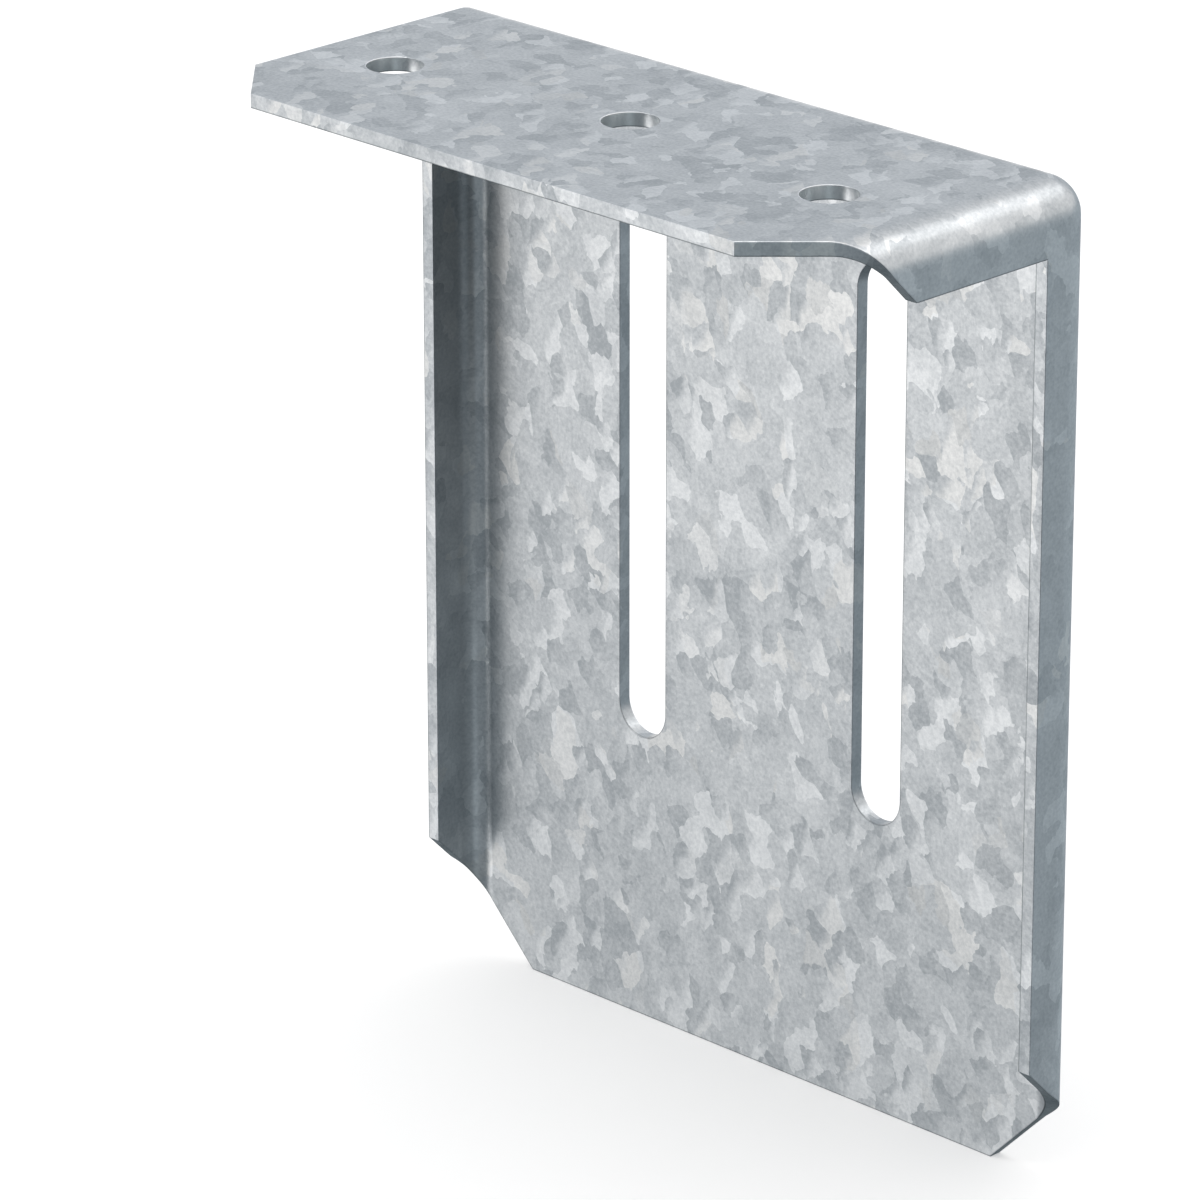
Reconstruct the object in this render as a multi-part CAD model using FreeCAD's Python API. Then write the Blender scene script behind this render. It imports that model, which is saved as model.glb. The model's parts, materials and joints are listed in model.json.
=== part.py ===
import FreeCAD, Part
import math
import os
from FreeCAD import Vector

# Slide clip folded from one steel sheet: a slotted web, a stiffening flange down each side and an
# anchor flange on top, which is drawn into the web and the right flange round one corner.
# Lengths are millimetres. The folding frame has X across the web from its middle, Y from the web's
# back face with the open side at -Y, and Z up from the web's bottom edge.

# Sheet and bends
sheet_thickness = 1.44
bend_inside_radius = 2.4
neutral_factor = 0.42

# Overall sizes of the folded clip
web_width = 82.55
clip_height = 101.6
anchor_flange_depth = 37.8
side_flange_depth = 6.86

# Outline cuts: each slanted cut is straight at 45 degrees on the flat sheet
bottom_cut_setback = 9.61
right_cut_setback = 9.75
left_corner_chamfer = 6.75
anchor_flange_inset = 2.5
neck_drop = 6.68
relief_height = 2.0

# Web slots
slot_width = 6.38
slot_spacing = 31.75
slot_travel = 50.8
slot_low_centre = 33.5

# Anchor holes
hole_diameter = 5.56
hole_pitch = 28.575
hole_end_distance = 9.65
hole_row_depth = 21.78
middle_hole_stagger = 3.175

# Bend geometry that follows from the sheet
outside_radius = bend_inside_radius + sheet_thickness
neutral_radius = bend_inside_radius + neutral_factor * sheet_thickness
bend_length = neutral_radius * math.pi / 2

# Faces and bend lines of the folded clip
right_face = web_width / 2
left_face = -right_face
right_bend_line = right_face - outside_radius
left_bend_line = left_face + outside_radius
back_bend_line = -outside_radius
top_bend_line = clip_height - outside_radius
side_edge = -side_flange_depth
front_edge = -anchor_flange_depth
left_end = left_face + anchor_flange_inset

# Levels where the cuts cross the bend lines
cut_at_web = bottom_cut_setback - outside_radius
cut_at_flange = cut_at_web + bend_length
cut_at_side_edge = cut_at_flange + side_flange_depth - outside_radius
neck_level = clip_height - neck_drop
left_flange_top = neck_level - relief_height
cut_on_top = front_edge + right_cut_setback - outside_radius
cut_on_neck = cut_on_top + bend_length
neck_toe = cut_on_neck + top_bend_line - neck_level

# Anchor holes from the left end of the anchor flange
first_hole = left_end + hole_end_distance
middle_hole = first_hole + hole_pitch
last_hole = middle_hole + hole_pitch


def plate(corners, thickness):
    """A flat piece of the sheet: the outline through the corners, given depth along a vector."""
    outline = Part.makePolygon(corners + corners[:1])
    return Part.Face(outline).extrude(thickness)


def quarter_bend(length):
    """A quarter of a tube round +Z, from the +X side to the +Y side, as long as given."""
    toward_x = Vector(1, 0, 0)
    toward_y = Vector(0, 1, 0)
    middle = (toward_x + toward_y).normalize()
    arcs = []
    for radius in (outside_radius, bend_inside_radius):
        arcs.append(Part.Arc(toward_x * radius, middle * radius, toward_y * radius).toShape())
    sides = []
    for side in (toward_x, toward_y):
        sides.append(Part.makeLine(side * bend_inside_radius, side * outside_radius))
    section = Part.Face(Part.Wire(Part.__sortEdges__(arcs + sides)))
    return section.extrude(Vector(0, 0, length))


def wrapped_cut(reach):
    """What a slanted cut takes from a quarter bend: the room on one side of a ramp.

    The ramp climbs from height zero at the +X side to the bend length at the +Y side, because the
    cut is straight at 45 degrees on the flat sheet. A positive reach takes what lies above it.
    """
    pitch = 2 * math.pi * neutral_radius
    inner = Part.makeHelix(pitch, bend_length, bend_inside_radius / 2)
    outer = Part.makeHelix(pitch, bend_length, outside_radius * 2)
    ramp = Part.makeRuledSurface(inner.Edges[0], outer.Edges[0])
    return ramp.extrude(Vector(0, 0, reach))


def slot(centre_x):
    """What a round-ended upright slot takes from the web, between its two end centres."""
    radius = slot_width / 2
    low = slot_low_centre
    high = slot_low_centre + slot_travel
    left = centre_x - radius
    right = centre_x + radius
    edges = [
        Part.makeLine(Vector(right, 0, low), Vector(right, 0, high)),
        Part.Arc(Vector(right, 0, high), Vector(centre_x, 0, high + radius), Vector(left, 0, high)).toShape(),
        Part.makeLine(Vector(left, 0, high), Vector(left, 0, low)),
        Part.Arc(Vector(left, 0, low), Vector(centre_x, 0, low - radius), Vector(right, 0, low)).toShape(),
    ]
    return Part.Face(Part.Wire(edges)).extrude(Vector(0, -outside_radius, 0))


def anchor_hole(centre_x, centre_y):
    """What a round hole takes from the anchor flange, deep enough to go through a bend beside it."""
    lowest = Vector(centre_x, centre_y, top_bend_line)
    return Part.makeCylinder(hole_diameter / 2, outside_radius, lowest)


def punched_holes():
    """The two slots, and the three anchor holes with the middle one set back towards the web."""
    return [
        slot(-slot_spacing / 2),
        slot(slot_spacing / 2),
        anchor_hole(first_hole, -hole_row_depth),
        anchor_hole(middle_hole, -hole_row_depth + middle_hole_stagger),
        anchor_hole(last_hole, -hole_row_depth),
    ]


def web():
    """The flat web between its four bend lines, with its bottom corners cut."""
    corners = [
        Vector(left_face + bottom_cut_setback, 0, 0),
        Vector(right_face - bottom_cut_setback, 0, 0),
        Vector(right_bend_line, 0, cut_at_web),
        Vector(right_bend_line, 0, top_bend_line),
        Vector(left_end, 0, top_bend_line),
        Vector(left_end, 0, neck_level),
        Vector(left_bend_line, 0, neck_level),
        Vector(left_bend_line, 0, cut_at_web),
    ]
    return plate(corners, Vector(0, -sheet_thickness, 0))


def anchor_flange():
    """The flat top with its two front corners cut."""
    corners = [
        Vector(left_end, back_bend_line, clip_height),
        Vector(right_bend_line, back_bend_line, clip_height),
        Vector(right_bend_line, cut_on_top, clip_height),
        Vector(right_face - right_cut_setback, front_edge, clip_height),
        Vector(left_end + left_corner_chamfer, front_edge, clip_height),
        Vector(left_end, front_edge + left_corner_chamfer, clip_height),
    ]
    return plate(corners, Vector(0, 0, -sheet_thickness))


def left_flange():
    """The flat left stiffener, cut back at its foot and free of the anchor flange at its head."""
    corners = [
        Vector(left_face, back_bend_line, cut_at_flange),
        Vector(left_face, back_bend_line, left_flange_top),
        Vector(left_face, side_edge, left_flange_top),
        Vector(left_face, side_edge, cut_at_side_edge),
    ]
    return plate(corners, Vector(sheet_thickness, 0, 0))


def right_flange():
    """The flat right stiffener, which widens at its head into the neck under the anchor flange."""
    corners = [
        Vector(right_face, back_bend_line, cut_at_flange),
        Vector(right_face, back_bend_line, top_bend_line),
        Vector(right_face, cut_on_neck, top_bend_line),
        Vector(right_face, neck_toe, neck_level),
        Vector(right_face, side_edge, neck_level),
        Vector(right_face, side_edge, cut_at_side_edge),
    ]
    return plate(corners, Vector(-sheet_thickness, 0, 0))


def left_side_bend(top_level):
    """The bend between the web and the left flange, from its slanted foot up to the given level."""
    length = top_level - cut_at_web
    bend = quarter_bend(length).cut(wrapped_cut(-length))
    bend.rotate(Vector(0, 0, 0), Vector(0, 0, 1), 90)
    bend.translate(Vector(left_bend_line, back_bend_line, cut_at_web))
    return bend


def right_side_bend():
    """The bend between the web and the right flange: the left one mirrored, up to the drawn corner."""
    return left_side_bend(top_bend_line).mirror(Vector(0, 0, 0), Vector(1, 0, 0))


def back_bend():
    """The bend between the web and the anchor flange, from its left end to the drawn corner."""
    bend = quarter_bend(right_bend_line - left_end)
    bend.rotate(Vector(0, 0, 0), Vector(1, 1, 1), 120)
    bend.translate(Vector(left_end, back_bend_line, top_bend_line))
    return bend


def right_top_bend():
    """The bend between the right flange's neck and the anchor flange, cut on the slant in front."""
    short_side = back_bend_line - cut_on_neck
    long_side = short_side + bend_length
    ramp = wrapped_cut(long_side)
    ramp.translate(Vector(0, 0, short_side))
    bend = quarter_bend(long_side).cut(ramp)
    bend.rotate(Vector(0, 0, 0), Vector(1, 0, 0), 90)
    bend.translate(Vector(right_bend_line, back_bend_line, top_bend_line))
    return bend


def drawn_corner():
    """The eighth of a hollow ball where the back, right side and right top bends run together."""
    centre = Vector(right_bend_line, back_bend_line, top_bend_line)
    upward = Vector(0, 0, 1)
    ball = Part.makeSphere(outside_radius, centre, upward, 0, 90, 90)
    hollow = Part.makeSphere(bend_inside_radius, centre, upward, 0, 90, 90)
    return ball.cut(hollow)


def slide_clip():
    """The whole folded sheet, with its origin midway between the outer anchor holes on the top face."""
    pieces = [
        anchor_flange(),
        left_flange(),
        right_flange(),
        left_side_bend(left_flange_top),
        right_side_bend(),
        back_bend(),
        right_top_bend(),
        drawn_corner(),
    ]
    sheet = web().multiFuse(pieces).removeSplitter().cut(punched_holes())
    sheet.translate(Vector(-(first_hole + last_hole) / 2, hole_row_depth, -clip_height))
    return sheet.Solids[0]


os.makedirs("parts", exist_ok=True)
slide_clip().exportStep("parts/slide_clip.step")
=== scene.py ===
import json
import math

import bpy
import numpy as np
from mathutils import Matrix, Vector


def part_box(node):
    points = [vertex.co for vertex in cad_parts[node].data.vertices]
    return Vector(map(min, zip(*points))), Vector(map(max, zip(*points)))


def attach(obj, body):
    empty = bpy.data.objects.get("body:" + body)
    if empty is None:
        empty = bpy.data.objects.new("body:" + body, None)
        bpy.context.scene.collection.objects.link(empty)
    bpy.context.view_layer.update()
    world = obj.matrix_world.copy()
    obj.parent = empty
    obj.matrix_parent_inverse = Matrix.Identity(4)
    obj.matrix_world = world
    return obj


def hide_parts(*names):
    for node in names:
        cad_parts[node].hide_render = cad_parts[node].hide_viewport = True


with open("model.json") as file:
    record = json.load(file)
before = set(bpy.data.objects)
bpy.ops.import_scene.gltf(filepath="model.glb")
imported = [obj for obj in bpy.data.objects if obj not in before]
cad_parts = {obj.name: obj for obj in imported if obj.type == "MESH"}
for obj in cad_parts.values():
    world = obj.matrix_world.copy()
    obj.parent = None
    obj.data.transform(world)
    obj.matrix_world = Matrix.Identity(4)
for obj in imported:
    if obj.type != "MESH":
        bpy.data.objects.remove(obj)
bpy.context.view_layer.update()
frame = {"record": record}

# The folded sheet, in millimetres: its box, sheet and holes come from the frame, the rest is measured
mm = 0.001
clip_low, clip_high = (np.array(corner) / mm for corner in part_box("slide_clip"))
mounts = {mount["name"]: mount for mount in frame["record"]["mounts"]}
sheet = mounts["anchor_hole_middle"]["dims"]["length_mm"]
hole_radius = mounts["anchor_hole_middle"]["dims"]["r_mm"]
anchor_holes = [
    np.array(mounts[name]["pos_m"][:2]) / mm
    for name in ("anchor_hole_left", "anchor_hole_middle", "anchor_hole_right")
]
slot_centres = [
    np.array(mounts[name]["pos_m"])[[0, 2]] / mm for name in ("slot_left", "slot_right")
]
slot_radius = 3.19
slot_travel = 50.8
bend_inside_radius = 2.4
neutral_factor = 0.42
side_flange_depth = 6.86
bottom_cut_setback = 9.61
right_cut_setback = 9.75
left_corner_chamfer = 6.75
anchor_flange_inset = 2.5
neck_drop = 6.68
relief_height = 2.0

# The cut edges: the round on each arris, and the strip beside it where the arris's painted shade and
# highlight die away
edge_radius = 0.06
edge_light_strip = 0.10

# How walls of slots and holes are tinted: 1 draws a slot's wall darker, -1 whitens a hole's wall as painted
# light; and the painted shade along a slot's foot
slot_wall_darkening = 1.0
hole_painted_light = -1.0
slot_foot_shade = 0.6

# Arrises that face along the first of these get painted shade, and those far enough along the second a
# painted highlight
shaded_way = np.array([-1.0, 0.0, -2.0])
lit_way = np.array([2.0, 0.5, 2.0])
lit_start = 2.3

# How finely the skin is divided, and how close two of its points are joined into one
bend_steps = 16
edge_steps = 4
ring_steps = 4
span_step = 1.2
merge_distance = 0.0013

# Bend lines and cut levels that follow from those sizes
left_face, front_edge, foot = clip_low
right_face, back_face, top_face = clip_high
outside_radius = bend_inside_radius + sheet
neutral_radius = bend_inside_radius + neutral_factor * sheet
bend_length = neutral_radius * math.pi / 2
web_middle = (left_face + right_face) / 2
mirror = 2 * web_middle
left_bend = left_face + outside_radius
right_bend = right_face - outside_radius
back_bend = back_face - outside_radius
top_bend = top_face - outside_radius
side_edge = back_face - side_flange_depth
left_end = left_face + anchor_flange_inset
neck_level = top_face - neck_drop
left_flange_top = neck_level - relief_height
flange_reach = right_bend - web_middle + bend_length + side_flange_depth - outside_radius
foot_reach = right_face - web_middle - bottom_cut_setback
flange_foot = foot + flange_reach - foot_reach
neck_reach = right_bend + bend_length + top_bend - neck_level
front_reach = right_face - right_cut_setback
neck_toe = front_edge + neck_reach - front_reach
tab_reach = back_bend + bend_length + top_bend - neck_level


def fold_web(across, level, depth):
    """Folds the web's flat sheet: points of the web stay, and what lies past a side bend line goes
    round a quarter circle and then straight on to the front.

    Returns the places, the outward directions, and the folded directions of across and level.
    """
    offset = across - web_middle
    side = np.sign(offset)
    past = np.maximum(np.abs(offset) - (right_bend - web_middle), 0)
    turn = np.minimum(past / neutral_radius, math.pi / 2)
    straight = np.maximum(past - bend_length, 0)
    radius = outside_radius - depth
    sine, cosine, none = np.sin(turn), np.cos(turn), np.zeros_like(turn)
    x = across - side * past + side * radius * sine
    y = back_bend + radius * cosine - straight
    place = np.stack([x, y, level + none], -1)
    outward = np.stack([side * sine, cosine, none], -1)
    along = np.stack([cosine, -side * sine, none], -1)
    up = np.stack([none, none, none + 1], -1)
    return place, outward, along, up


def fold_top(across, along, depth):
    """Folds the anchor flange's flat sheet: points of the flange stay, and what lies past its right
    or back bend line goes round a quarter circle and then straight down.

    Returns the places, the outward directions, and the folded directions of across and along.
    """
    past_right = np.maximum(across - right_bend, 0)
    past_back = np.maximum(along - back_bend, 0)
    turn_right = np.minimum(past_right / neutral_radius, math.pi / 2)
    turn_back = np.minimum(past_back / neutral_radius, math.pi / 2)
    straight = np.maximum(past_right + past_back - bend_length, 0)
    radius = outside_radius - depth
    cosine = np.cos(turn_right + turn_back)
    none = np.zeros_like(cosine)
    x = across - past_right + radius * np.sin(turn_right)
    y = along - past_back + radius * np.sin(turn_back)
    place = np.stack([x + none, y + none, top_bend + radius * cosine - straight], -1)
    outward = np.stack([np.sin(turn_right) + none, np.sin(turn_back) + none, cosine], -1)
    rightward = np.stack([np.cos(turn_right) + none, none, -np.sin(turn_right) + none], -1)
    backward = np.stack([none, np.cos(turn_back) + none, -np.sin(turn_back) + none], -1)
    return place, outward, rightward, backward


class Skin:
    """Collects grids of places and outward normals, and makes one closed mesh of them."""

    def __init__(self):
        self.places = []
        self.normals = []
        self.punched = []
        self.sheared = []
        self.worn = []
        self.quads = []
        self.count = 0

    def add(self, places, normals, punched=0.0, sheared=0.0, worn=0.0):
        """Adds a grid of rows and columns: each cell between four neighbours is one face.

        The punched value is 1 on a slot wall drawn darker and -1 on a hole wall whitened as painted light,
        sheared is 1 on the sheet's cut outline, and worn is 1 along an arris with painted shade and -1 along
        one with a painted highlight.
        """
        rows, columns = places.shape[:2]
        number = self.count + np.arange(rows * columns).reshape(rows, columns)
        corners = (number[:-1, :-1], number[1:, :-1], number[1:, 1:], number[:-1, 1:])
        self.places.append(places.reshape(-1, 3))
        self.normals.append(normals.reshape(-1, 3))
        self.punched.append(np.broadcast_to(punched, (rows, columns)).reshape(-1))
        self.sheared.append(np.broadcast_to(sheared, (rows, columns)).reshape(-1))
        self.worn.append(np.broadcast_to(worn, (rows, columns)).reshape(-1))
        self.quads.append(np.stack(corners, -1).reshape(-1, 4))
        self.count += rows * columns

    def add_sheet(self, fold, first, second):
        """Adds the same stretch of the flat sheet on its outer and its inner face."""
        for depth, outer in ((0, 1), (sheet, -1)):
            places, outward = fold(first, second, depth)[:2]
            self.add(places, outer * outward)

    def mesh(self, name):
        """Joins grids where their edges meet, turns every face outwards and keeps the worked-out normals.

        A cell with two joined corners becomes a triangle. The traits that the finish reads are kept on the
        faces' corners: the punched trait counts by the square of how far a wall faces right or left, and the
        sheared one by the square of how far it faces front or back.
        """
        places = np.concatenate(self.places)
        normals = np.concatenate(self.normals)
        traits = {
            "sideways": normals[:, 0] ** 2,
            "punched": np.concatenate(self.punched) * normals[:, 0] ** 2,
            "sheared": np.concatenate(self.sheared) * normals[:, 1] ** 2,
            "worn": np.concatenate(self.worn),
        }
        quads = np.concatenate(self.quads)
        first, second = (places[quads[:, k]] - places[quads[:, k - 2]] for k in (2, 3))
        facing = np.einsum("ij,ij->i", np.cross(first, second), normals[quads].sum(1))
        quads = np.where((facing < 0)[:, None], quads[:, ::-1], quads)
        keys = np.round(places / merge_distance).astype(np.int64)
        _, kept, merged = np.unique(keys, axis=0, return_index=True, return_inverse=True)
        joined = merged.reshape(-1)[quads]
        same = joined == np.roll(joined, -1, axis=1)
        whole = ~same.any(1)
        pinched = same.sum(1) == 1
        fan = np.argsort(same[pinched], axis=1, kind="stable")[:, :3]
        fan.sort(axis=1)
        tip = np.take_along_axis(joined[pinched], fan, 1)
        tip_normals = np.take_along_axis(quads[pinched], fan, 1)
        made = bpy.data.meshes.new(name)
        made.from_pydata(places[kept] * mm, [], joined[whole].tolist() + tip.tolist())
        made.polygons.foreach_set("use_smooth", np.ones(len(made.polygons), bool))
        loops = np.concatenate([quads[whole].reshape(-1), tip_normals.reshape(-1)])
        made.normals_split_custom_set(normals[loops])
        for trait, values in traits.items():
            made.attributes.new(trait, "FLOAT", "CORNER").data.foreach_set("value", values[loops])
        made.update()
        return made


def spans(*stops):
    """Evenly divided runs from stop to stop, about one span step apart, with every stop kept."""
    runs = [
        np.linspace(start, end, max(1, round(abs(end - start) / span_step)) + 1)[:-1]
        for start, end in zip(stops, stops[1:])
    ]
    return np.concatenate(runs + [stops[-1:]])


def run(first, second):
    """Pairs two coordinates, or one with a fixed value, into points of the flat sheet."""
    return np.stack(np.broadcast_arrays(np.asarray(first, float), second), -1)


def on_line(start, end, first):
    """The second coordinate of a straight line through two points, at given first coordinates."""
    return start[1] + (first - start[0]) * (end[1] - start[1]) / (end[0] - start[0])


def share(values):
    """Where values lie between the first and the last of them, from 0 to 1."""
    return (values - values[0]) / (values[-1] - values[0])


def mitres(path, turn):
    """Outward directions of a path's straight cuts, and its mitres: at each corner the sum of the two
    outward directions over one plus their cosine, so that an inset along it moves both cuts alike.
    Turn is 1 where the outside lies to the right of the path, and -1 where it lies to the left.
    """
    steps = np.diff(path, axis=0)
    steps = steps / np.linalg.norm(steps, axis=1)[:, None]
    facing = turn * np.stack([steps[:, 1], -steps[:, 0]], -1)
    cosine = np.einsum("ij,ij->i", facing[:-1], facing[1:])
    return facing, (facing[:-1] + facing[1:]) / (1 + cosine)[:, None]


# The sheet's edge in section: in from one face round a small arris, down the cut wall and round a second
# arris, with a strip on each side of an arris where its painted shade and highlight die away
rim_reach = edge_radius + edge_light_strip
quarter_turn = np.linspace(0, math.pi / 2, edge_steps + 1)
half_turn = np.concatenate([[0], quarter_turn, [math.pi / 2]])
half_inset = np.concatenate([[rim_reach], edge_radius * (1 - np.sin(quarter_turn)), [0]])
half_edge_light = np.concatenate([[0], np.ones(edge_steps + 1), [0]])
rim_turn = np.concatenate([half_turn, math.pi - half_turn[::-1]])
rim_lean = np.stack([np.cos(rim_turn), np.sin(rim_turn)], -1)[..., None]
rim_inset = np.concatenate([half_inset, half_inset[::-1]])
rim_depth = np.concatenate([half_inset[::-1], sheet - half_inset])
rim_edge_light = np.concatenate([half_edge_light, half_edge_light[::-1]])
rim_side = np.repeat([1, -1], half_turn.size)[:, None]


def painted_edge_light(outward, away):
    """Painted light on a rim's arrises: painted shade at 1 where an arris faces left or down, and a painted
    highlight at -1 where it faces right, up and a little back. An arris faces along the sum of its two sides.
    """
    arris = rim_side * outward + away
    arris_shade = np.clip(arris @ shaded_way, 0, 1)
    arris_highlight = np.clip(arris @ lit_way - lit_start, 0, 1)
    return rim_edge_light * (arris_shade - arris_highlight)


def add_rim(skin, fold, path, turn, runs):
    """Carries the edge section along a path of straight cuts on the flat sheet, and folds it.

    Each cut goes straight from one mitred corner to the next, divided in the shares that its run gives.
    """
    facing, mitre = mitres(path, turn)
    for k, values in enumerate(runs):
        along = share(values)[:, None, None]
        start = path[k + 1] - rim_inset[:, None] * mitre[k]
        end = path[k + 2] - rim_inset[:, None] * mitre[k + 1]
        flat = (1 - along) * start + along * end
        place, outward, first, second = fold(flat[..., 0], flat[..., 1], rim_depth)
        away = facing[k + 1][0] * first + facing[k + 1][1] * second
        lean = rim_lean[:, 0] * outward + rim_lean[:, 1] * away
        skin.add(place, lean, 0.0, np.sin(rim_turn), painted_edge_light(outward, away))


def add_pierced(skin, fold, loop, centre, travel, radius, wall_tone):
    """Fills a closed loop of the flat sheet round a slot or hole, and lines the hole with the edge section.

    Each loop point is joined straight to the nearest point of the hole, whose middle line runs along the
    second coordinate for its travel. The last argument tints its wall, darker on a slot and whitened as
    painted light on a hole, and where the wall faces up, at the foot of a slot, both its arrises get painted
    shade.
    """
    loop = np.concatenate([loop, loop[:1]])
    nearest = run(centre[0], np.clip(loop[:, 1], centre[1] - travel / 2, centre[1] + travel / 2))
    away = loop - nearest
    away = away / np.linalg.norm(away, axis=1)[:, None]
    mouth = nearest + (radius + rim_reach) * away
    steps = np.linspace(0, 1, ring_steps + 1)[:, None, None]
    flat = mouth + steps * (loop - mouth)
    skin.add_sheet(fold, flat[..., 0], flat[..., 1])
    flat = nearest[:, None] + (radius + rim_inset)[:, None] * away[:, None]
    place, outward, first, second = fold(flat[..., 0], flat[..., 1], rim_depth)
    inward = -away[:, :1, None] * first - away[:, 1:, None] * second
    lean = rim_lean[:, 0] * outward + rim_lean[:, 1] * inward
    # Painted shade on both arrises where the wall faces up, at the foot of a slot
    foot_edge_shade = rim_edge_light * np.clip(inward[..., 2], 0, slot_foot_shade)
    skin.add(place, lean, wall_tone * np.sin(rim_turn), 0.0, painted_edge_light(outward, inward) + foot_edge_shade)


def folded_sheet():
    """The whole clip as one closed skin: two outlines on the flat sheet, folded with the sheet.

    The web's outline goes from the relief cut round both side flanges to the neck, and the anchor
    flange's from the neck round its front to the relief cut. Each path has a neighbour before and after.
    """
    skin = Skin()
    web_path = np.array([
        (left_end, neck_level),
        (left_bend, neck_level),
        (left_bend, left_flange_top),
        (web_middle - flange_reach, left_flange_top),
        (web_middle - flange_reach, flange_foot),
        (web_middle - foot_reach, foot),
        (web_middle + foot_reach, foot),
        (web_middle + flange_reach, flange_foot),
        (web_middle + flange_reach, neck_level),
        (web_middle + flange_reach + sheet, neck_level),
    ])
    top_path = np.array([
        (neck_reach + sheet, side_edge),
        (neck_reach, side_edge),
        (neck_reach, neck_toe),
        (front_reach, front_edge),
        (left_end + left_corner_chamfer, front_edge),
        (left_end, front_edge + left_corner_chamfer),
        (left_end, tab_reach),
        (left_bend, tab_reach),
        (left_bend, tab_reach + relief_height),
    ])
    relief_head, relief_foot, left_head, left_toe, foot_left, *_, right_head = (
        web_path[1:-1] - rim_reach * mitres(web_path, 1)[1]
    )
    neck_back, neck_front, front_right, front_left, chamfer_back, tab_foot, tab_head = (
        top_path[1:-1] - rim_reach * mitres(top_path, -1)[1]
    )

    # Divisions that neighbouring stretches share
    turns = np.linspace(0, bend_length, bend_steps + 1)
    flange_run = spans(left_bend - bend_length, left_head[0])
    left_columns = np.concatenate([left_bend - turns, flange_run[1:]])
    right_columns = mirror - left_columns
    side_shares = share(spans(left_toe[1], left_head[1]))
    cut_run = spans(foot_left[0], left_bend)
    foot_run = spans(web_middle, foot_left[0])
    neck_rows = spans(relief_head[1], top_bend)
    relief_run = spans(relief_head[1], relief_foot[1])
    toe_run = spans(neck_back[1], neck_front[1])
    front_cut_run = spans(right_bend, front_right[0])
    left_split, right_split = (
        (first[0] + second[0]) / 2 for first, second in zip(anchor_holes, anchor_holes[1:])
    )
    back_runs = [
        spans(tab_foot[0], tab_head[0]),
        spans(tab_head[0], left_split),
        spans(left_split, web_middle),
        spans(web_middle, right_split),
        spans(right_split, right_bend),
    ]

    # Side flanges with their bends
    low = on_line(left_toe, foot_left, left_columns)
    shares = side_shares[:, None]
    skin.add_sheet(fold_web, left_columns + 0 * shares, low + shares * (left_head[1] - low))
    skin.add_sheet(fold_web, right_columns + 0 * shares, low + shares * (right_head[1] - low))
    right_turn = right_bend + turns
    skin.add_sheet(fold_web, right_turn + 0 * neck_rows[:, None], neck_rows[:, None] + 0 * right_turn)

    # Neck, back bend, tab over the relief cut, and the drawn corner
    neck_columns = np.concatenate([right_bend + bend_length + top_bend - neck_rows, right_turn[-2::-1]])
    flange_steps = back_bend - (flange_run[0] - flange_run)
    neck_shares = share(np.concatenate([flange_steps[:-1], toe_run]))[:, None]
    cut_line = on_line(neck_front, front_right, neck_columns)
    skin.add_sheet(fold_top, neck_columns + 0 * neck_shares, back_bend + neck_shares * (cut_line - back_bend))
    back_columns = np.concatenate([values[:-1] for values in back_runs] + [[right_bend]])
    back_turn = back_bend + turns[:, None]
    skin.add_sheet(fold_top, back_columns + 0 * back_turn, back_turn + 0 * back_columns)
    tab_rows = (back_bend + bend_length + top_bend - neck_rows)[:, None]
    skin.add_sheet(fold_top, back_runs[0] + 0 * tab_rows, tab_rows + 0 * back_runs[0])
    corner = np.array([right_bend, back_bend, top_bend])
    tilt, swing = np.meshgrid(turns / neutral_radius, turns / neutral_radius, indexing="ij")
    outward = np.stack([np.sin(tilt) * np.cos(swing), np.sin(tilt) * np.sin(swing), np.cos(tilt)], -1)
    skin.add(corner + outside_radius * outward, outward)
    skin.add(corner + bend_inside_radius * outward, -outward)

    # Web round its two slots
    middle_run = spans(top_bend, foot_left[1])
    low_left = on_line(left_toe, foot_left, left_bend)
    left_rows = low_left + side_shares * (left_head[1] - low_left)
    right_rows = low_left + side_shares * (right_head[1] - low_left)
    middle_line = run(web_middle, middle_run[:-1])
    left_loop = np.concatenate([
        run(foot_run[:-1], foot_left[1]),
        run(cut_run[:-1], on_line(left_toe, foot_left, cut_run[:-1])),
        run(left_bend, left_rows),
        run(relief_foot[0], relief_run[:0:-1]),
        run(relief_head[0], neck_rows[:-1]),
        run(np.concatenate([back_runs[1][:-1], back_runs[2][:-1]]), top_bend),
        middle_line,
    ])
    right_loop = np.concatenate([
        run(mirror - foot_run[:-1], foot_left[1]),
        run(mirror - cut_run[:-1], on_line(left_toe, foot_left, cut_run[:-1])),
        run(right_bend, np.concatenate([right_rows[:-1], neck_rows])),
        run(np.concatenate([back_runs[4][-2::-1], back_runs[3][-2:0:-1]]), top_bend),
        middle_line,
    ])
    for loop, centre in zip((left_loop, right_loop), slot_centres):
        add_pierced(skin, fold_web, loop, centre, slot_travel, slot_radius, slot_wall_darkening)

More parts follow.
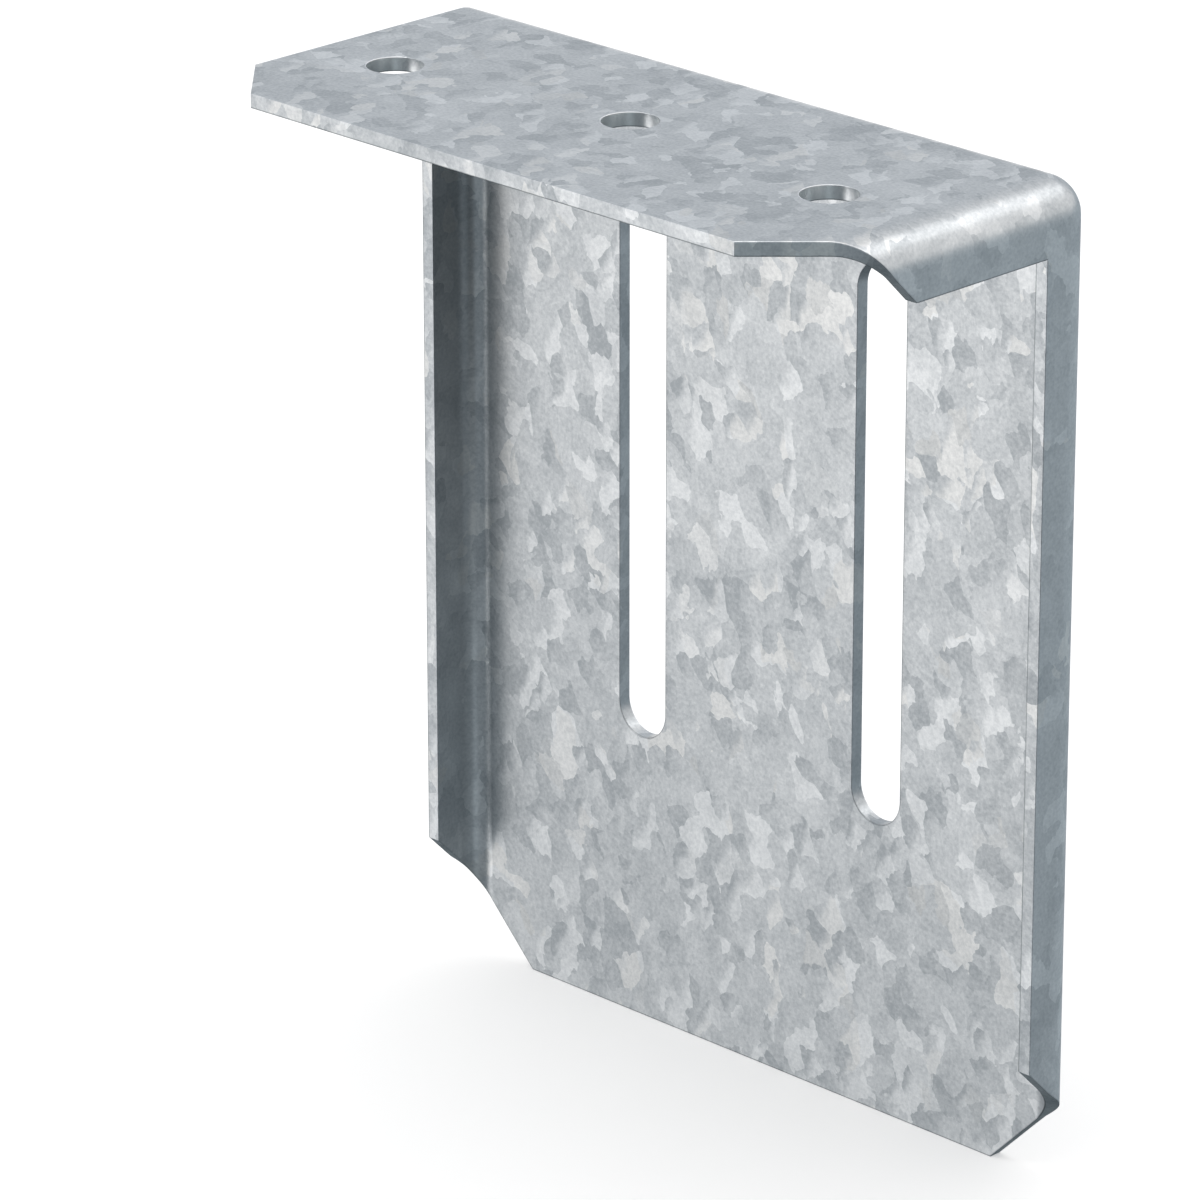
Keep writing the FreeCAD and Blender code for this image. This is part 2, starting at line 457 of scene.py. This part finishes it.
    # Anchor flange round its three holes
    right_line = back_bend + neck_shares[:, 0] * (cut_line[-1] - back_bend)
    split_run = spans(front_right[1], back_bend)
    front_runs = [
        spans(front_right[0], right_split),
        spans(right_split, left_split),
        spans(left_split, front_left[0]),
    ]
    chamfer_run = spans(front_left[0], chamfer_back[0])
    end_run = spans(chamfer_back[1], back_bend)
    right_cell = np.concatenate([
        run(right_bend, right_line[:-1]),
        run(front_cut_run[:-1], on_line(neck_front, front_right, front_cut_run[:-1])),
        run(front_runs[0][:-1], front_right[1]),
        run(right_split, split_run[:-1]),
        run(back_runs[4][:-1], back_bend),
    ])
    middle_cell = np.concatenate([
        run(front_runs[1][:-1], front_right[1]),
        run(left_split, split_run[:-1]),
        run(np.concatenate([back_runs[2][:-1], back_runs[3][:-1]]), back_bend),
        run(right_split, split_run[:0:-1]),
    ])
    left_cell = np.concatenate([
        run(front_runs[2][:-1], front_right[1]),
        run(chamfer_run[:-1], on_line(front_left, chamfer_back, chamfer_run[:-1])),
        run(tab_foot[0], end_run[:-1]),
        run(np.concatenate([back_runs[0][:-1], back_runs[1][:-1]]), back_bend),
        run(left_split, split_run[:0:-1]),
    ])
    for loop, centre in zip((left_cell, middle_cell, right_cell), anchor_holes):
        add_pierced(skin, fold_top, loop, centre, 0, hole_radius, hole_painted_light)

    # Cut edges all round
    add_rim(skin, fold_web, web_path, 1, [
        relief_run,
        np.concatenate([relief_foot[:1], left_columns]),
        left_head[1] - side_shares,
        np.concatenate([left_columns[::-1], cut_run[-2::-1]]),
        np.concatenate([foot_run[::-1], mirror - foot_run[1:]]),
        mirror - np.concatenate([cut_run, left_columns[1:]]),
        side_shares,
    ])
    add_rim(skin, fold_top, top_path, -1, [
        toe_run,
        np.concatenate([neck_columns, front_cut_run[1:]]),
        np.concatenate([front_runs[0], front_runs[1][1:], front_runs[2][1:]]),
        chamfer_run,
        np.concatenate([end_run, back_turn[1:, 0], tab_rows[-2::-1, 0]]),
        back_runs[0],
    ])
    return skin.mesh("folded_sheet")


class Value:
    """A socket in a node tree; Python arithmetic on it adds Math nodes."""

    def __init__(self, finish, socket):
        self.finish = finish
        self.socket = socket

    def maths(self, operation, first, second):
        """Adds a Math node that works on two numbers or sockets."""
        return self.finish.node("ShaderNodeMath", {"operation": operation}, {0: first, 1: second})

    def output(self, name):
        """Another output of the same node."""
        return Value(self.finish, self.socket.node.outputs[name])

    def __add__(self, other):
        return self.maths("ADD", self, other)

    def __radd__(self, other):
        return self.maths("ADD", other, self)

    def __sub__(self, other):
        return self.maths("SUBTRACT", self, other)

    def __rsub__(self, other):
        return self.maths("SUBTRACT", other, self)

    def __mul__(self, other):
        return self.maths("MULTIPLY", self, other)

    def __rmul__(self, other):
        return self.maths("MULTIPLY", other, self)


class Finish:
    """The node tree of a material or world, with one method that adds any node."""

    def __init__(self, owner):
        owner.use_nodes = True
        self.owner = owner
        self.tree = owner.node_tree
        self.tree.nodes.clear()

    def node(self, kind, settings=None, values=None, output=0):
        """Adds a node: its settings first, then the value or link of each socket."""
        made = self.tree.nodes.new(kind)
        for name, setting in (settings or {}).items():
            setattr(made, name, setting)
        for name, value in (values or {}).items():
            if isinstance(value, Value):
                self.tree.links.new(value.socket, made.inputs[name])
            else:
                made.inputs[name].default_value = value
        return Value(self, made.outputs[output]) if made.outputs else None

    def vector(self, operation, first, second):
        """Adds a Vector Math node, whose answer is a number for a dot product and a vector for the rest."""
        socket = "Scale" if operation == "SCALE" else 1
        answer = "Value" if operation == "DOT_PRODUCT" else "Vector"
        return self.node("ShaderNodeVectorMath", {"operation": operation}, {0: first, socket: second}, answer)

    def blend(self, factor, first, second, kind="MIX"):
        """Mixes two colours."""
        settings = {"data_type": "RGBA", "blend_type": kind}
        return self.node("ShaderNodeMix", settings, {0: factor, 6: first, 7: second}, output=2)

    def ramp(self, value, low, high):
        """A smooth step from 0 at one value to 1 at another."""
        settings = {"interpolation_type": "SMOOTHSTEP"}
        return self.node("ShaderNodeMapRange", settings, {0: value, 1: low, 2: high})


def galvanised():
    """Hot-dip zinc: the sheet's crystals are cells of two sizes, longer down the web than across it, with
    borders that noise bends. Some cells are light, some dark, and many light ones fade out towards one side.
    Clouds, specks and a fine comb, turned another way in each crystal, break up the tone. All of it is
    calmer on faces that look sideways. Slot walls are drawn darker, hole walls are whitened as painted light,
    cut edges that face front or back are drawn a little lighter, and arrises get painted shade where they
    face left or down and a painted highlight where they face right and up.
    """
    finish = Finish(bpy.data.materials.new("galvanised_zinc"))
    spot = finish.node("ShaderNodeTexCoord", output="Object")

    def noise(place, size, roughness=0.5, output="Fac"):
        """Soft noise with blots of about a size, in millimetres."""
        values = {"Vector": place, "Scale": 1 / (size * mm), "Detail": 1.0, "Roughness": roughness}
        return finish.node("ShaderNodeTexNoise", values=values, output=output)

    def warped(place, size, reach):
        """A place, moved by up to half the reach along each way by noise of a size."""
        drift = finish.vector("SUBTRACT", noise(place, size, output="Color"), (0.5, 0.5, 0.5))
        return finish.vector("ADD", place, finish.vector("SCALE", drift, reach * mm))

    def turned(place, angles):
        """A place, turned about the three axes in turn."""
        values = {"Vector": place, "Rotation": angles}
        return finish.node("ShaderNodeVectorRotate", {"rotation_type": "EULER_XYZ"}, values)

    def crystals(place, size):
        """Square-cornered cells of about a size, each with a random colour of its own."""
        values = {"Vector": place, "Scale": 1 / (size * mm)}
        return finish.node("ShaderNodeTexVoronoi", {"distance": "CHEBYCHEV"}, values, output="Color")

    def channel(colour, name):
        """One channel of a colour, as a number."""
        return finish.node("ShaderNodeSeparateColor", values={0: colour}, output=name)

    def trait(name):
        """What the mesh says of its corners under a name."""
        return finish.node("ShaderNodeAttribute", {"attribute_name": name}, output="Fac")

    # Crystals
    large_size, small_size = 5.5, 2.3
    crystal_lean = (0.25, 0.38, 0.5)
    upright_stretch = (1.0, 1.0, 0.74)
    comb_stretch = (1.0, 0.16, 0.16)
    leaned = finish.vector("MULTIPLY", turned(spot, crystal_lean), upright_stretch)
    bent = warped(warped(leaned, 4.5, 2.6), 0.8, 0.6)
    large = crystals(bent, large_size)
    small = crystals(bent, small_size)
    from_centre = finish.vector("SUBTRACT", bent, small.output("Position"))
    fading_way = Vector((0.46, 0.575, -0.92)) / (small_size * mm)
    fade = finish.ramp(finish.vector("DOT_PRODUCT", from_centre, fading_way), -0.35, 0.15)
    fades = finish.ramp(channel(small, "Blue"), 0.30, 0.50)
    light = finish.ramp(channel(small, "Red"), 0.60, 0.68) * (1 - fades * (1 - fade))
    dark = finish.ramp(channel(small, "Green"), 0.58, 0.66) * (1 - fades * fade * 0.7)
    broad = channel(large, "Red") - 0.5
    cloud = noise(spot, 3.4) - 0.5
    speck = noise(spot, 0.36, roughness=0.7) - 0.5
    combed = turned(spot, finish.vector("SCALE", small, 2 * math.pi))
    streak = noise(finish.vector("MULTIPLY", combed, comb_stretch), 0.30, roughness=0.6) - 0.5

    # Tone, from 0 for the darkest zinc to 1 for the lightest
    even_tone = 0.48
    mean_pattern = 0.05
    sideways = trait("sideways")
    pattern = broad * 0.16 + light * 0.35 - dark * 0.26 + cloud * 0.36 - mean_pattern
    grain = speck * 0.74 + streak * 0.30
    tone = even_tone + pattern * (1 - sideways * 0.45) + grain * (1 - sideways * 0.25)

    # Colours
    zinc_dark = (0.42, 0.445, 0.465, 1)
    zinc_light = (0.84, 0.85, 0.855, 1)
    warm_tint = (1.0, 0.985, 0.965, 1)
    slot_wall_tint = (0.76, 0.775, 0.785, 1)
    # Painted light: the white that hole walls are drawn towards
    hole_wall_painted_white = (0.97, 1.0, 1.0, 1)
    # How much lighter cut edges that face front or back are drawn
    sheared_tint = (1.08, 1.08, 1.08, 1)
    # Tints of painted shade on arrises that face left or down and at a slot's foot, and of a painted
    # highlight on arrises that face right, up and a little back
    painted_shade_tint = (0.40, 0.42, 0.43, 1)
    painted_highlight_tint = (1.45, 1.43, 1.42, 1)
    punched = trait("punched")
    worn = trait("worn")
    warmth = light * finish.ramp(channel(large, "Blue"), 0.55, 0.85)
    colour = finish.blend(tone, zinc_dark, zinc_light)
    colour = finish.blend(warmth, colour, warm_tint, "MULTIPLY")
    # Slot walls drawn darker where they face right or left
    colour = finish.blend(punched, colour, slot_wall_tint, "MULTIPLY")
    # Painted light: hole walls whitened where they face right or left
    colour = finish.blend(0 - punched, colour, hole_wall_painted_white)
    # Cut edges drawn a little lighter where they face front or back
    colour = finish.blend(trait("sheared"), colour, sheared_tint, "MULTIPLY")
    # Painted shade: arrises that face left or down, and along each slot's foot, drawn darker
    colour = finish.blend(worn, colour, painted_shade_tint, "MULTIPLY")
    # Painted highlight: arrises that face right, up and a little back drawn lighter
    colour = finish.blend(0 - worn, colour, painted_highlight_tint, "MULTIPLY")
    ripple = noise(spot, 1.8)
    bump = finish.node("ShaderNodeBump", values={"Strength": 0.05, "Distance": 0.05 * mm, "Height": ripple})
    surface = finish.node("ShaderNodeBsdfPrincipled", values={
        "Base Color": colour,
        "Metallic": 1.0,
        "Roughness": 0.38 - tone * 0.08,
        "Normal": bump,
    })
    finish.node("ShaderNodeOutputMaterial", values={"Surface": surface})
    return finish.owner


def floor_paper():
    """White paper that keeps soft shadows, and looks a little brighter to the eye than the lamps make it."""
    finish = Finish(bpy.data.materials.new("floor_paper"))
    rays = finish.node("ShaderNodeLightPath", output="Is Camera Ray")
    seen = rays + rays.output("Is Glossy Ray") + rays.output("Is Transmission Ray")
    surface = finish.node("ShaderNodeBsdfPrincipled", values={
        "Base Color": (0.68, 0.68, 0.68, 1),
        "Roughness": 0.9,
        "Specular IOR Level": 0.0,
        "Emission Color": finish.blend(seen, (0, 0, 0, 1), (0.36, 0.36, 0.36, 1)),
        "Emission Strength": 1.0,
    })
    finish.node("ShaderNodeOutputMaterial", values={"Surface": surface})
    return finish.owner


def glowing(name, colour):
    """An even glow of one colour, for cards that the metal mirrors."""
    finish = Finish(bpy.data.materials.new(name))
    surface = finish.node("ShaderNodeEmission", values={"Color": (*colour, 1), "Strength": 1.0})
    finish.node("ShaderNodeOutputMaterial", values={"Surface": surface})
    return finish.owner


def placed(name, mesh, material):
    """Puts a mesh into the scene as an object with one material."""
    mesh.materials.append(material)
    piece = bpy.data.objects.new(name, mesh)
    bpy.context.scene.collection.objects.link(piece)
    return piece


def panel(name, corners, material):
    """A flat panel through its corners."""
    mesh = bpy.data.meshes.new(name)
    mesh.from_pydata(corners, [], [tuple(range(len(corners)))])
    return placed(name, mesh, material)


def card(name, bearings, heights, colour, centre=(0.0, 0.0, -0.05), distance=2.5):
    """A studio card that only the metal sees: a patch of a ball round a place, at a distance from it, over
    a range of bearings, counted from the front round the right, and of angles above level.
    """
    patch_steps = 24
    bearing, height = np.meshgrid(
        np.radians(np.linspace(*bearings, patch_steps)),
        np.radians(np.linspace(*heights, patch_steps)),
    )
    direction = np.stack([
        np.sin(bearing) * np.cos(height),
        -np.cos(bearing) * np.cos(height),
        np.sin(height),
    ], -1)
    number = np.arange(bearing.size).reshape(bearing.shape)
    corners = (number[:-1, :-1], number[:-1, 1:], number[1:, 1:], number[1:, :-1])
    mesh = bpy.data.meshes.new(name)
    mesh.from_pydata(
        (np.array(centre) + distance * direction).reshape(-1, 3),
        [],
        np.stack(corners, -1).reshape(-1, 4).tolist(),
    )
    made = placed(name, mesh, glowing(name, colour))
    made.visible_camera = False
    made.visible_diffuse = False
    made.visible_transmission = False
    made.visible_shadow = False


def softbox(name, place, aim, width, height, power):
    """A soft rectangular lamp at a place, turned to what it lights."""
    lamp = bpy.data.lights.new(name, "AREA")
    lamp.shape = "RECTANGLE"
    lamp.size = width
    lamp.size_y = height
    lamp.energy = power
    holder = bpy.data.objects.new(name, lamp)
    holder.location = place
    holder.rotation_euler = (Vector(aim) - Vector(place)).to_track_quat("-Z", "Y").to_euler()
    bpy.context.scene.collection.objects.link(holder)


def studio():
    """White floor and surround, soft lamps, and grey cards where the photograph's metal looks darker."""
    floor_level = foot * mm
    floor_reach = 6.0
    floor = panel("floor", [
        (-floor_reach, -floor_reach, floor_level),
        (floor_reach, -floor_reach, floor_level),
        (floor_reach, floor_reach, floor_level),
        (-floor_reach, floor_reach, floor_level),
    ], floor_paper())
    floor.visible_glossy = False

    world = Finish(bpy.data.worlds.new("surround"))
    surface = world.node("ShaderNodeBackground", values={"Color": (1, 1, 1, 1), "Strength": 1.0})
    world.node("ShaderNodeOutputWorld", values={"Surface": surface})
    bpy.context.scene.world = world.owner

    softbox("key_light", (-0.5, -0.4, 1.7), (0, 0, -0.05), 1.8, 1.8, 9.0)
    softbox("rim_light", (0.22, 0.55, 0.55), (0, 0, -0.03), 0.45, 0.2, 0.3)

    card("floor_card", (0, 360), (-90, -28), (0.26, 0.295, 0.32))
    card("floor_shade_card", (150, 300), (-90, -31), (0.13, 0.155, 0.17), distance=2.4)
    card("window_card", (-42, -17), (-23, 35), (1.67, 1.67, 1.67))
    card("window_foot_card", (-42, -17), (-28, -23), (1.00, 1.01, 1.02))
    card("front_card", (-17, 36), (-28, 16), (0.20, 0.23, 0.25))
    card("camera_card", (36, 56), (-28, 16), (0.355, 0.41, 0.44))
    card("side_card", (56, 118), (-28, 12), (0.11, 0.135, 0.15))
    card("right_card", (118, 212), (-28, 6), (0.427, 0.489, 0.53))
    card("back_card", (180, 270), (6, 45), (0.62, 0.655, 0.695))
    card("left_card", (-62, -42), (-23, 35), (0.86, 0.87, 0.88))
    card("left_foot_card", (-62, -42), (-28, -23), (0.68, 0.70, 0.72))
    card("far_left_card", (-125, -62), (-28, 35), (0.48, 0.50, 0.52))
    card("upper_left_card", (-125, -17), (35, 62), (0.66, 0.69, 0.72))

    # Stepped cards close to the left flange, which darken it more and more towards its head
    left_corner = (-0.033, 0.020, -0.050)
    step_bearings = (32, 64)
    step_distance = 0.08
    cool_grey = np.array([0.90, 1.0, 1.05])
    steps = (
        ("middle", -30, -20, 0.30),
        ("high", -20, -10, 0.20),
        ("neck", -10, -3, 0.05),
        ("head", -3, 15, 0.0),
    )
    for step, low, high, glow in steps:
        name = f"flange_{step}_card"
        card(name, step_bearings, (low, high), glow * cool_grey, left_corner, step_distance)


def camera():
    """A long lens that looks down on the open side from the right front corner."""
    azimuth, elevation, roll = (math.radians(angle) for angle in (45.101, 20.955, -0.042))
    back = Vector((
        math.sin(azimuth) * math.cos(elevation),
        -math.cos(azimuth) * math.cos(elevation),
        math.sin(elevation),
    ))
    right = Vector((math.cos(azimuth), math.sin(azimuth), 0))
    turn = Matrix((right, back.cross(right), back)).transposed() @ Matrix.Rotation(roll, 3, "Z")
    place = Vector((0.453511, -0.452781, 0.198396))
    lens = bpy.data.cameras.new("camera")
    lens.lens = 215.958
    lens.sensor_width = 36.0
    lens.clip_start = 0.01
    holder = bpy.data.objects.new("camera", lens)
    holder.matrix_world = Matrix.LocRotScale(place, turn, None)
    bpy.context.scene.collection.objects.link(holder)
    bpy.context.scene.camera = holder


bpy.context.scene.view_settings.view_transform = "Standard"
clip = placed("slide_clip_sheet", folded_sheet(), galvanised())
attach(clip, "root")
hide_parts("slide_clip")
studio()
camera()
